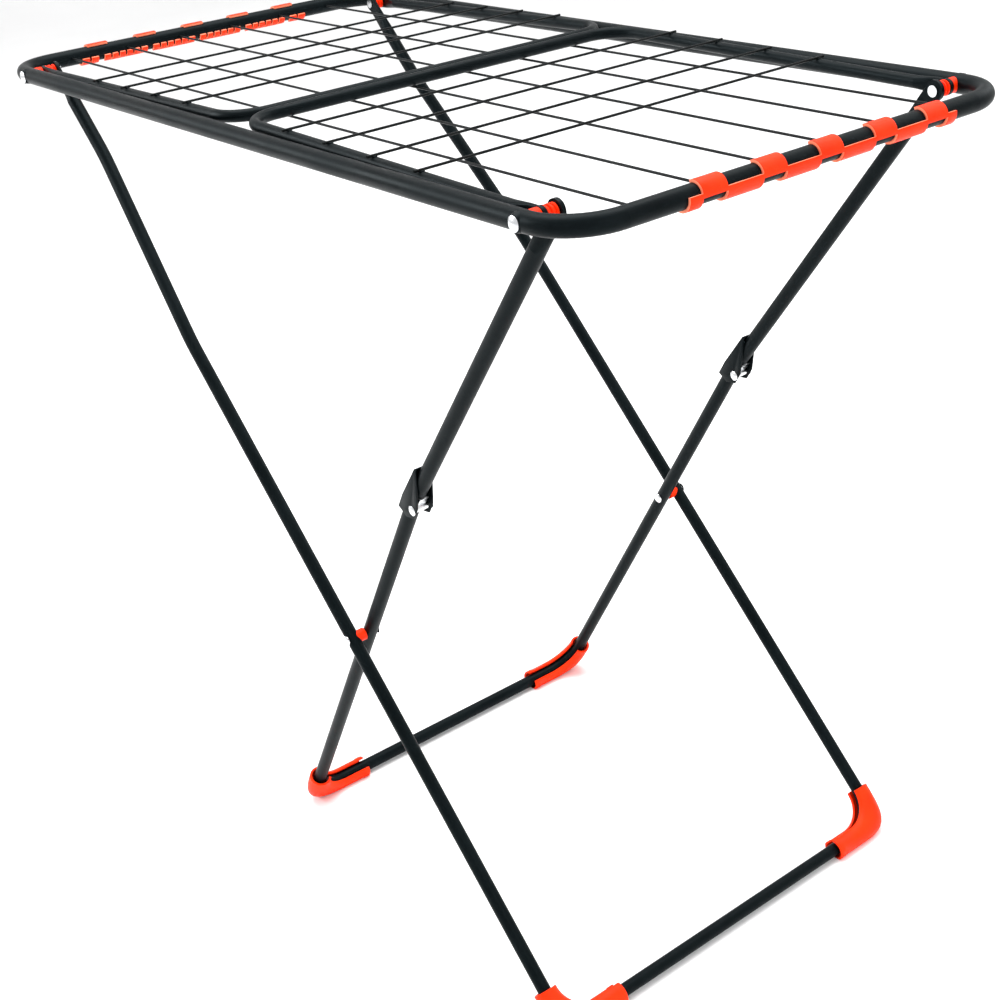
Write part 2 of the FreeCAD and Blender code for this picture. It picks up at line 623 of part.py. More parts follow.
def make_links(rest):
    """The two upper links from the right pivots to the knees, with their hinge sleeves."""
    angle, length = rest["link_angle"], rest["link_length"]
    ear = flattened_ear(INNER_R, LEG_EAR_WIDTH, LEG_EAR_END, LEG_NECK_END)
    start, end = Vector(LEG_NECK_END, 0, 0), Vector(length - KNEE_TUBE_GAP, 0, 0)
    tube = cylinder(INNER_R, start, end).cut(cylinder(INNER_R - TUBE_WALL, start, end))
    link = tube.fuse(ear)

    pin = Vector(length, 0, KNEE_PIN_OFFSET)
    across = Vector(0, INNER_R, 0)
    sleeve = cylinder(KNEE_SLEEVE_R, pin - across, pin + across)
    lug_corner = Vector(length - LUG_LENGTH, -LUG_WIDTH / 2, KNEE_PIN_OFFSET - LUG_DROP)
    lug = Part.makeBox(LUG_LENGTH, LUG_WIDTH, LUG_WALL, lug_corner)
    sleeve = sleeve.fuse(lug).cut(cylinder(INNER_R, start, end))
    sleeve = sleeve.cut(cylinder(KNEE_BOLT_R + RUNNING_GAP, pin - across * 2, pin + across * 2))
    sleeves = []
    for side_name, side in SIDES:
        shift = Vector(0, side * LEG_Y, 0)
        arm = link.copy()
        arm.translate(shift)
        export("link_" + side_name, placed(arm, angle, PIVOT_X, FRAME_Z))
        barrel = sleeve.copy()
        barrel.translate(shift)
        sleeves.append(barrel)
    export("knee_sleeves", placed(group(sleeves), angle, PIVOT_X, FRAME_Z))


def main():
    """Make every sub-part."""
    os.makedirs("parts", exist_ok=True)
    rest = linkage()
    make_frame()
    make_long_wires()
    make_end_strips()
    make_pivots()
    make_wings()
    make_outer_leg(rest)
    make_inner_leg(rest)
    make_links(rest)


main()
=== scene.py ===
"""Winged clothes drying rack: finishes, moulded plastic, welds, fastener seats, stage, lights and camera."""
import json
import logging
import math
import random
from dataclasses import dataclass
from enum import Enum
from typing import Iterable, Sequence

import bmesh
import bpy
from mathutils import Matrix, Vector


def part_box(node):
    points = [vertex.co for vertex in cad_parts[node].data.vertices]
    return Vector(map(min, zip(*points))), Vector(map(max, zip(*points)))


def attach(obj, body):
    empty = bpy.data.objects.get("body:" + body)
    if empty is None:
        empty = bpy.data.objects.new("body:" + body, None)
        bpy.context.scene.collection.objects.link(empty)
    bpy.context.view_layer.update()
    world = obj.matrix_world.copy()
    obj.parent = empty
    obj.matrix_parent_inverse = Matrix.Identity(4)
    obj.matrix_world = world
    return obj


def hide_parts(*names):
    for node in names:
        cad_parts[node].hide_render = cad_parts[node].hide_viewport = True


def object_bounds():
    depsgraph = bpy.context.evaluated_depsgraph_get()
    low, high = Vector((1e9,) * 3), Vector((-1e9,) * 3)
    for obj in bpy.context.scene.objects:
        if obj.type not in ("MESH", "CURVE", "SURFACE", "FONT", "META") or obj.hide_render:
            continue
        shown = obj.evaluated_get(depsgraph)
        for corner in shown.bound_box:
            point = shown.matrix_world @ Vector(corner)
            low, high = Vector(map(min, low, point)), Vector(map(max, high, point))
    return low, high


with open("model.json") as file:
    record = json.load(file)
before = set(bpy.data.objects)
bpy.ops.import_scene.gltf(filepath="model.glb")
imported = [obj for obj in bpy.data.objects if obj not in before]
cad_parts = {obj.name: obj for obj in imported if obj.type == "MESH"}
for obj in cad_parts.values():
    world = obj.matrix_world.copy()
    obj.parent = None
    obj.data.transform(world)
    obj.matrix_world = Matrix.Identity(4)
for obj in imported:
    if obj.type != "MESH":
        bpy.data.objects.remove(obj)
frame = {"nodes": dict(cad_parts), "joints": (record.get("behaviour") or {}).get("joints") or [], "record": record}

log = logging.getLogger("drying_rack")

MM = 0.001
Colour = tuple[float, float, float]
Output = bpy.types.NodeSocket
Edges = list[bmesh.types.BMEdge]
CAD_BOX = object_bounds()


class Slot(Enum):
    """Finishes named in the record."""

    TUBE = "tube_enamel"
    WIRE = "wire_coating"
    ORANGE = "orange_plastic"
    BRIGHT = "bright_steel"
    CAP = "black_cap"
    PLAIN = "plain_steel"


class Body(Enum):
    """Bodies that pieces ride on."""

    TOP = "top_frame"
    WING_LEFT = "wing_left"
    WING_RIGHT = "wing_right"
    OUTER = "outer_leg"
    INNER = "inner_leg"
    LINKS = "links"


# ---- Finishes --------------------------------------------------------------------------

class Recipe:
    """A node material under construction."""

    def __init__(self, name: str) -> None:
        """Start a material with only its shader and output.

        Args:
            name: The material's name.
        """
        self.material = bpy.data.materials.new(name)
        self.material.use_nodes = True
        self.tree = self.material.node_tree
        self.shader = self.tree.nodes["Principled BSDF"]
        self.coords = self.tree.nodes.new("ShaderNodeTexCoord").outputs["Object"]

    def set(self, **values: object) -> None:
        """Set sockets on the shader.

        Args:
            values: Socket names, with underscores for spaces, and their constants.
        """
        for name, value in values.items():
            self.shader.inputs[name.replace("_", " ")].default_value = value

    def noise(self, scale: float, detail: float = 2.0, stretch: Colour = (1.0, 1.0, 1.0)) -> Output:
        """Noise in the piece's own space.

        Args:
            scale: Cells per metre.
            detail: Octaves of finer noise.
            stretch: Scale along each axis, before the noise.

        Returns:
            The noise's factor output.
        """
        mapping = self.tree.nodes.new("ShaderNodeMapping")
        mapping.inputs["Scale"].default_value = stretch
        self.tree.links.new(self.coords, mapping.inputs["Vector"])
        texture = self.tree.nodes.new("ShaderNodeTexNoise")
        texture.inputs["Scale"].default_value = scale
        texture.inputs["Detail"].default_value = detail
        self.tree.links.new(mapping.outputs["Vector"], texture.inputs["Vector"])
        return texture.outputs["Fac"]

    def remap(self, source: Output, low: float, high: float, to_low: float, to_high: float) -> Output:
        """Map a factor's range onto another.

        Args:
            source: The output to map.
            low: Factor that gives to_low.
            high: Factor that gives to_high.
            to_low: Lowest result.
            to_high: Highest result.

        Returns:
            The mapped output.
        """
        node = self.tree.nodes.new("ShaderNodeMapRange")
        for name, value in (("From Min", low), ("From Max", high), ("To Min", to_low), ("To Max", to_high)):
            node.inputs[name].default_value = value
        self.tree.links.new(source, node.inputs["Value"])
        return node.outputs["Result"]

    def blend(self, factor: Output, first: Colour, second: Colour) -> Output:
        """Mix two colours.

        Args:
            factor: Output from 0, first, to 1, second.
            first: Linear colour.
            second: Linear colour.

        Returns:
            The mixed colour's output.
        """
        ramp = self.tree.nodes.new("ShaderNodeValToRGB")
        ramp.color_ramp.elements[0].position = 0.3
        ramp.color_ramp.elements[0].color = (*first, 1.0)
        ramp.color_ramp.elements[1].position = 0.7
        ramp.color_ramp.elements[1].color = (*second, 1.0)
        self.tree.links.new(factor, ramp.inputs["Fac"])
        return ramp.outputs["Color"]

    def feed(self, source: Output, socket: str) -> None:
        """Connect an output to one of the shader's sockets."""
        self.tree.links.new(source, self.shader.inputs[socket])

    def bumps(self, layers: Sequence[tuple[Output, float, float]]) -> None:
        """Raise the surface by one or more heights, coarse ones first.

        Args:
            layers: Height output, strength, and distance in metres of each layer.
        """
        previous = None
        for height, strength, distance in layers:
            bump = self.tree.nodes.new("ShaderNodeBump")
            bump.inputs["Strength"].default_value = strength
            bump.inputs["Distance"].default_value = distance
            self.tree.links.new(height, bump.inputs["Height"])
            if previous is not None:
                self.tree.links.new(previous, bump.inputs["Normal"])
            previous = bump.outputs["Normal"]
        self.feed(previous, "Normal")


@dataclass(frozen=True)
class PowderCoat:
    """Satin black powder coat: a faint orange peel, cloudy gloss and fine specks."""

    name: str = "black_powder_coat"
    deep: Colour = (0.0010, 0.0020, 0.0025)
    worn: Colour = (0.0028, 0.0046, 0.0054)
    gloss: tuple[float, float] = (0.34, 0.46)
    peel_scale: float = 420.0
    speck_scale: float = 2600.0

    def material(self) -> bpy.types.Material:
        """The finished material."""
        recipe = Recipe(self.name)
        cloud = recipe.noise(14.0, 4.0)
        recipe.feed(recipe.blend(cloud, self.deep, self.worn), "Base Color")
        recipe.feed(recipe.remap(cloud, 0.35, 0.65, *self.gloss), "Roughness")
        recipe.set(Specular_IOR_Level=0.07, Specular_Tint=(0.74, 0.94, 1.0, 1.0))
        peel = recipe.noise(self.peel_scale, 1.0)
        speck = recipe.noise(self.speck_scale, 2.0)
        recipe.bumps([(peel, 0.16, 0.0004), (speck, 0.10, 0.0001)])
        return recipe.material


@dataclass(frozen=True)
class WireCoat:
    """Thin dip coating over drawn wire, with marks along the wire and dull patches."""

    name: str = "black_wire_coat"
    deep: Colour = (0.0020, 0.0028, 0.0030)
    pale: Colour = (0.0070, 0.0082, 0.0086)

    def material(self) -> bpy.types.Material:
        """The finished material."""
        recipe = Recipe(self.name)
        patches = recipe.noise(60.0, 3.0)
        recipe.feed(recipe.blend(patches, self.deep, self.pale), "Base Color")
        recipe.feed(recipe.remap(patches, 0.3, 0.7, 0.34, 0.52), "Roughness")
        recipe.set(Specular_IOR_Level=0.08)
        grain = recipe.noise(900.0, 2.0)
        recipe.bumps([(grain, 0.18, 0.0002)])
        return recipe.material


@dataclass(frozen=True)
class MouldedPlastic:
    """Injection moulded polypropylene: slightly translucent, fine mould grain, uneven gloss."""

    name: str
    deep: Colour
    bright: Colour
    translucency: float = 0.06

    def material(self) -> bpy.types.Material:
        """The finished material."""
        recipe = Recipe(self.name)
        flow = recipe.noise(35.0, 3.0)
        recipe.feed(recipe.blend(flow, self.deep, self.bright), "Base Color")
        recipe.feed(recipe.remap(flow, 0.3, 0.7, 0.40, 0.52), "Roughness")
        recipe.set(Specular_IOR_Level=0.1, Subsurface_Weight=self.translucency,
                   Subsurface_Radius=(1.0, 0.25, 0.1), Subsurface_Scale=0.002)
        grain = recipe.noise(3200.0, 2.0)
        sink = recipe.noise(90.0, 1.0)
        recipe.bumps([(sink, 0.10, 0.0006), (grain, 0.20, 0.0001)])
        return recipe.material


@dataclass(frozen=True)
class SteelFinish:
    """Bare or plated steel with turning marks and stains."""

    name: str
    pale: Colour
    dull: Colour
    gloss: tuple[float, float]
    marks: float

    def material(self) -> bpy.types.Material:
        """The finished material."""
        recipe = Recipe(self.name)
        stains = recipe.noise(240.0, 4.0)
        recipe.feed(recipe.blend(stains, self.dull, self.pale), "Base Color")
        recipe.feed(recipe.remap(stains, 0.3, 0.7, self.gloss[1], self.gloss[0]), "Roughness")
        recipe.set(Metallic=1.0)
        scratches = recipe.noise(1500.0, 3.0, (1.0, 1.0, 0.12))
        recipe.bumps([(scratches, self.marks, 0.0001)])
        return recipe.material


@dataclass(frozen=True)
class Paper:
    """Seamless studio backdrop with faint mottling."""

    name: str = "backdrop_paper"
    grey: Colour = (0.90, 0.90, 0.90)
    white: Colour = (0.93, 0.93, 0.93)

    def material(self) -> bpy.types.Material:
        """The finished material."""
        recipe = Recipe(self.name)
        recipe.feed(recipe.blend(recipe.noise(1.5, 3.0), self.grey, self.white), "Base Color")
        recipe.set(Roughness=0.95, Specular_IOR_Level=0.1)
        return recipe.material


class Finishes:
    """Every material of the rack, by the record's slot."""

    def __init__(self) -> None:
        """Make the materials."""
        self.by_slot = {
            Slot.TUBE: PowderCoat().material(),
            Slot.WIRE: WireCoat().material(),
            Slot.ORANGE: MouldedPlastic("orange_moulding", (0.93, 0.026, 0.001),
                                        (1.0, 0.036, 0.002)).material(),
            Slot.BRIGHT: SteelFinish("bright_plated_steel", (0.86, 0.87, 0.88), (0.62, 0.63, 0.65),
                                     (0.12, 0.24), 0.12).material(),
            Slot.CAP: MouldedPlastic("black_push_cap", (0.006, 0.007, 0.008),
                                     (0.014, 0.015, 0.016), 0.0).material(),
            Slot.PLAIN: SteelFinish("zinc_plated_steel", (0.46, 0.47, 0.48), (0.28, 0.29, 0.30),
                                    (0.30, 0.46), 0.25).material(),
        }
        # A paler copy of the orange moulding for the strips' cut edges: a painted highlight, not a colour of the
        # plastic.
        self.orange_edge_painted_highlight = MouldedPlastic("orange_moulding_painted_edge_highlight", (1.0, 0.20, 0.10),
                                          (1.0, 0.30, 0.18)).material()

    def dress_frame(self) -> None:
        """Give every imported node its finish."""
        for part in frame["record"]["subparts"]:
            node = frame["nodes"][part["node"]]
            for slot in node.material_slots:
                slot.material = self.by_slot[Slot(part["material_slot"])]


# ---- Meshes ----------------------------------------------------------------------------

@dataclass(frozen=True)
class Axes:
    """A local frame placed in the rack's frame."""

    origin: Vector
    x: Vector
    y: Vector
    z: Vector

    def matrix(self) -> Matrix:
        """From local to rack coordinates."""
        return Matrix.Translation(self.origin) @ Matrix((self.x, self.y, self.z)).transposed().to_4x4()


def sharp_edges(bm: bmesh.types.BMesh, degrees: float) -> Edges:
    """Edges between two faces that meet at more than an angle."""
    limit = math.radians(degrees)
    return [e for e in bm.edges if len(e.link_faces) == 2 and e.calc_face_angle() > limit]


def round_edges(bm: bmesh.types.BMesh, offset: float, degrees: float = 50.0, segments: int = 2) -> None:
    """Bevel every edge sharper than an angle.

    Args:
        bm: The mesh.
        offset: Width of the bevel, in metres.
        degrees: Edges sharper than this are bevelled.
        segments: Faces across the bevel.
    """
    bmesh.ops.bevel(bm, geom=sharp_edges(bm, degrees), offset=offset, offset_type="OFFSET", affect="EDGES",
                    segments=segments, profile=0.5, material=-1, clamp_overlap=True)


def spun(bm: bmesh.types.BMesh, profile: Sequence[tuple[float, float]], axes: Axes, steps: int = 40) -> None:
    """Add a closed turned piece to a mesh.

    Args:
        bm: The mesh.
        profile: Closed outline as radius and distance along the local Z axis.
        axes: Where the piece stands.
        steps: Faces round it.
    """
    piece = bmesh.new()
    points = [piece.verts.new((radius, 0.0, along)) for radius, along in profile]
    for first, second in zip(points, points[1:] + points[:1]):
        piece.edges.new((first, second))
    bmesh.ops.spin(piece, geom=piece.verts[:] + piece.edges[:], cent=(0, 0, 0), axis=(0, 0, 1),
                   angle=2 * math.pi, steps=steps, use_merge=True)
    bmesh.ops.remove_doubles(piece, verts=piece.verts[:], dist=1e-6)
    bmesh.ops.recalc_face_normals(piece, faces=piece.faces[:])
    bmesh.ops.transform(piece, matrix=axes.matrix(), verts=piece.verts[:])
    join(bm, piece)


def join(target: bmesh.types.BMesh, source: bmesh.types.BMesh) -> None:
    """Move one mesh's geometry into another.

    Args:
        target: The mesh that grows.
        source: The mesh that is used up, turned right side out.
    """
    if source.calc_volume(signed=True) < 0:
        bmesh.ops.reverse_faces(source, faces=source.faces[:])
    carrier = bpy.data.meshes.new("carrier")
    source.to_mesh(carrier)
    source.free()
    target.from_mesh(carrier)
    bpy.data.meshes.remove(carrier)


@dataclass(frozen=True)
class Piece:
    """A finished visible piece: its name, what it rides on and what it stands for."""

    name: str
    body: Body
    slot: Slot
    stands_for: tuple[str, ...] = ()

    def make(self, bm: bmesh.types.BMesh, materials: Sequence[bpy.types.Material],
             crease: float = 35.0) -> bpy.types.Object:
        """Turn a mesh under construction into a piece of the rack.

        Args:
            bm: The mesh, freed here.
            materials: Materials in the order of the faces' indices.
            crease: Edges sharper than this many degrees shade as sharp.

        Returns:
            The new object.
        """
        for face in bm.faces:
            face.smooth = True
        for edge in sharp_edges(bm, crease):
            edge.smooth = False
        mesh = bpy.data.meshes.new(self.name)
        bm.to_mesh(mesh)
        bm.free()
        for material in materials:
            mesh.materials.append(material)
        piece = bpy.data.objects.new(self.name, mesh)
        bpy.context.scene.collection.objects.link(piece)
        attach(piece, self.body.value)
        if self.stands_for:
            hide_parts(*self.stands_for)
        log.info("%s: %d faces on %s", self.name, len(mesh.polygons), self.body.value)
        return piece


def middle(node: str) -> Vector:
    """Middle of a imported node's box."""
    low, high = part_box(node)
    return (low + high) / 2


def pivot(joint: str) -> Vector:
    """Where a joint turns."""
    found = next(j for j in frame["joints"] if j["name"] == joint)
    return Vector(found["pos_m"])


# ---- Top frame -------------------------------------------------------------------------

@dataclass
class EndStrip:
    """Castellated clip-on strip round an end tube, with a comb along its lower fingers."""

    side: int
    finishes: Finishes
    tube_r: float = 9.05 * MM
    wall: float = 2.35 * MM
    band: tuple[float, float] = (-8.0, 12.0)
    top_end: float = 115.0
    bottom_end: float = -165.0
    top_fingers: int = 5
    finger: float = 26.0 * MM
    pitch: float = 64.5 * MM
    shift: float = 12.5 * MM
    angle_step: float = 11.0
    comb_start: float = -108.0
    comb_root: float = -122.0
    comb_reach: float = 9.0 * MM
    comb_pitch: float = 9.6 * MM
    comb_slot: float = 2.8 * MM
    least_step: float = 3.0
    corner: float = 0.88 * MM
    edge: float = 0.45 * MM

    def __post_init__(self) -> None:
        """Read the strip's place from the frame and set out its fingers."""
        self.node = "end_strip_right" if self.side > 0 else "end_strip_left"
        low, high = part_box(self.node)
        self.start, self.end = low.y, high.y
        frame_low, frame_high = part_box("main_frame_tube")
        tube = (frame_high.z - frame_low.z) / 2
        self.centre = Vector((frame_high.x - tube if self.side > 0 else frame_low.x + tube, 0,
                              (frame_high.z + frame_low.z) / 2))
        first = self.side * self.shift - self.pitch * (self.top_fingers - 1) / 2
        starts = [first + self.pitch * number - self.finger / 2 for number in range(self.top_fingers)]
        self.fingers = [(y, y + self.finger) for y in starts]
        edges = [self.start] + [y for finger in self.fingers for y in finger] + [self.end]
        self.lower = list(zip(edges[0::2], edges[1::2]))

    def combs(self) -> list[tuple[float, float]]:
        """Spans along Y of the combs, which run on under the upper fingers.

        Returns:
            Start and end of each comb.
        """
        return [(max(start - self.comb_reach, self.start), min(end + self.comb_reach, self.end))
                for start, end in self.lower]

    def slots(self) -> list[tuple[float, float]]:
        """Spans along Y of the combs' slots.

        Returns:
            Start and end of each slot.
        """
        found = []
        for start, end in self.combs():
            count = round((end - start) / self.comb_pitch) - 1
            first = (start + end) / 2 - self.comb_pitch * (count - 1) / 2
            centres = [first + self.comb_pitch * number for number in range(count)]
            found += [(y - self.comb_slot / 2, y + self.comb_slot / 2) for y in centres]
        return found

    def holds(self, y: float, degrees: float) -> bool:
        """True where the strip has material.

        Args:
            y: Place along the tube.
            degrees: Angle round the tube, 0 outwards and 90 up.

        Returns:
            Whether the point is on the strip.
        """
        if self.band[0] < degrees < self.band[1]:
            return True
        if degrees >= self.band[1]:
            return any(start < y < end for start, end in self.fingers)
        if degrees >= self.comb_start:
            return any(start < y < end for start, end in self.lower)
        in_slot = degrees < self.comb_root and any(start < y < end for start, end in self.slots())
        return any(start < y < end for start, end in self.combs()) and not in_slot

    def sheet(self) -> bmesh.types.BMesh:
        """The strip cut out flat: Y along, X as degrees round the tube.

        Returns:
            The flat cut-out.
        """
        bm = bmesh.new()
        bmesh.ops.create_grid(bm, x_segments=1, y_segments=1, size=0.5)
        span, length = self.top_end - self.bottom_end, self.end - self.start
        placing = Matrix.Translation(((self.top_end + self.bottom_end) / 2, (self.start + self.end) / 2, 0))
        bmesh.ops.transform(bm, matrix=placing @ Matrix.Diagonal((span, length, 1, 1)), verts=bm.verts[:])
        across = [y for pair in self.fingers + self.lower + self.combs() + self.slots() for y in pair]
        steps = int(span / self.angle_step)
        around = [self.bottom_end + span * i / steps for i in range(1, steps)]
        steps_here = (*self.band, self.comb_start, self.comb_root)
        around = [a for a in around if min(abs(a - b) for b in steps_here) > self.least_step] + [*steps_here]
        cuts = [(Vector((0, y, 0)), Vector((0, 1, 0))) for y in across]
        cuts += [(Vector((degrees, 0, 0)), Vector((1, 0, 0))) for degrees in around]
        for place, normal in cuts:
            bmesh.ops.bisect_plane(bm, geom=bm.verts[:] + bm.edges[:] + bm.faces[:], dist=1e-7,
                                   plane_co=place, plane_no=normal)
        gone = [f for f in bm.faces
                if not self.holds(f.calc_center_median().y, f.calc_center_median().x)]
        bmesh.ops.delete(bm, geom=gone, context="FACES")
        return bm

    def roll(self, point: Vector) -> Vector:
        """From the flat cut-out to the tube's surface.

        Args:
            point: A point of the cut-out, its X in degrees.

        Returns:
            The point on the tube.
        """
        angle = math.radians(point.x)
        across, up = self.tube_r * math.cos(angle), self.tube_r * math.sin(angle)
        return Vector((self.side * across, point.y, up)) + self.centre

    def make(self) -> None:
        """Cut, roll, thicken, round and place the strip."""
        bm = self.sheet()
        for vert in bm.verts:
            vert.co = self.roll(vert.co)
        corners = [v for v in bm.verts if len(v.link_faces) == 1]
        bmesh.ops.bevel(bm, geom=corners, offset=self.corner, affect="VERTICES", segments=3,
                        profile=0.5, material=-1, clamp_overlap=True)
        for face in bm.faces:
            face.normal_update()
            outward = face.calc_center_median() - self.centre
            outward.y = 0
            if face.normal.dot(outward) > 0:
                face.normal_flip()
        bmesh.ops.solidify(bm, geom=bm.faces[:], thickness=self.wall)
        bmesh.ops.recalc_face_normals(bm, faces=bm.faces[:])
        # Faces that do not face outwards from the tube, the strip's cut edges, get the paler orange: a painted
        # highlight on the edges.
        for face in bm.faces:
            outward = face.calc_center_median() - self.centre
            outward.y = 0
            face.material_index = int(abs(face.normal.dot(outward.normalized())) < 0.5)
        round_edges(bm, self.edge)
        side = "right" if self.side > 0 else "left"
        piece = Piece(f"clip_strip_{side}", Body.TOP, Slot.ORANGE, (self.node,))
        piece.make(bm, [self.finishes.by_slot[Slot.ORANGE], self.finishes.orange_edge_painted_highlight])


@dataclass
class FramePivots:
    """Turned bushes between the wing and leg ears, and the pressed seats under the rivet heads."""

    finishes: Finishes
    bore: float = 3.05 * MM
    core: float = 5.6 * MM
    rim: float = 7.2 * MM
    rim_width: float = 2.2 * MM
    soft: float = 0.5 * MM
    seat_top: float = 7.3 * MM
    seat_foot: float = 8.7 * MM
    seat_depth: float = 5.4 * MM
    seat_soft: float = 0.2 * MM
    seat_gap: float = 0.05 * MM
    half_width: float = 250.0 * MM
    tube_r: float = 9.0 * MM
    bush_from: float = 18.8 * MM
    bush_to: float = 29.7 * MM

    def places(self) -> Iterable[tuple[Vector, int]]:
        """Each frame pivot on the rack's middle plane, with the side it is on.

        Yields:
            The pivot's place and its side, -1 near or 1 far.
        """
        for joint in ("leg_fold", "link_fold"):
            for side in (-1, 1):
                yield pivot(joint), side

    def axes(self, place: Vector, side: int, inset: float) -> Axes:
        """Local axes with Z pointing inwards from the long tube's centre line.

        Args:
            place: The pivot on the middle plane.
            side: -1 near or 1 far.
            inset: How far inside the long tube's centre line the axes start.

        Returns:
            The axes.
        """
        origin = Vector((place.x, side * (self.half_width - inset), place.z))
        return Axes(origin, Vector((side, 0, 0)), Vector((0, 0, 1)), Vector((0, -side, 0)))

    def bush_profile(self) -> list[tuple[float, float]]:
        """Outline of a bush with three rounded rims.

        Returns:
            Radius and distance along the bush of each corner.
        """
        length, soft = self.bush_to - self.bush_from, self.soft
        outline = [(self.bore, 0.0)]
        for start in (0.0, (length - self.rim_width) / 2, length - self.rim_width):
            end = start + self.rim_width
            outline += [(self.core, start), (self.rim - soft, start), (self.rim, start + soft),
                        (self.rim, end - soft), (self.rim - soft, end), (self.core, end)]
        outline = [outline[0]] + outline[2:-1] + [(self.bore, length)]
        return outline

    def make(self) -> None:
        """Make the bushes and the seats."""
        bushes, seats = bmesh.new(), bmesh.new()
        for place, side in self.places():
            spun(bushes, self.bush_profile(), self.axes(place, side, self.bush_from))
            outline = [(self.bore, 0.0), (self.seat_top - self.soft, 0.0), (self.seat_top, self.seat_soft),
                       (self.seat_foot, self.seat_depth), (self.bore, self.seat_depth)]
            spun(seats, outline, self.axes(place, side, -self.tube_r - self.seat_gap))
        Piece("pivot_bobbins", Body.TOP, Slot.ORANGE, ("leg_bushes",)).make(
            bushes, [self.finishes.by_slot[Slot.ORANGE]])
        Piece("rivet_seats", Body.TOP, Slot.TUBE).make(seats, [self.finishes.by_slot[Slot.TUBE]])


# ---- Wings -----------------------------------------------------------------------------

@dataclass
class WingWelds:
    """Weld beads where a wing's cross wires lie on its tube."""

    side: str
    body: Body
    finishes: Finishes
    wires: int = 4
    tube_r: float = 6.0 * MM
    wire_r: float = 1.25 * MM
    bead: tuple[float, float, float] = (1.2 * MM, 2.6 * MM, 0.9 * MM)
    bead_out: float = 0.3 * MM
    bead_drop: float = 0.85
    uneven: float = 0.18
    seed: int = 7

    def make(self) -> None:
        """Lay two beads at each end of each wire."""
        bm = bmesh.new()
        draw = random.Random(self.seed)
        low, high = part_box(f"wing_{self.side}_tube")
        rail = min(-low.y, high.y) - self.tube_r
        for number in range(1, self.wires + 1):
            wire = middle(f"wing_{self.side}_wire_{number}")
            for across in (-1, 1):
                for along in (-1, 1):
                    x = wire.x + along * (self.wire_r + self.bead_out)
                    self.lay(bm, Vector((x, across * rail, wire.z - self.wire_r * self.bead_drop)), draw)
        Piece(f"wing_{self.side}_welds", self.body, Slot.TUBE).make(
            bm, [self.finishes.by_slot[Slot.TUBE]], crease=80.0)

    def lay(self, bm: bmesh.types.BMesh, place: Vector, draw: random.Random) -> None:
        """Add one bead.

        Args:
            bm: The mesh.
            place: The bead's middle.
            draw: Source of its unevenness.
        """
        ball = bmesh.new()
        bmesh.ops.create_icosphere(ball, subdivisions=2, radius=1.0)
        size = [length * (1 + draw.uniform(-self.uneven, self.uneven)) for length in self.bead]
        bmesh.ops.transform(ball, matrix=Matrix.Translation(place) @ Matrix.Diagonal((*size, 1)),
                            verts=ball.verts[:])
        join(bm, ball)


# ---- Legs ------------------------------------------------------------------------------

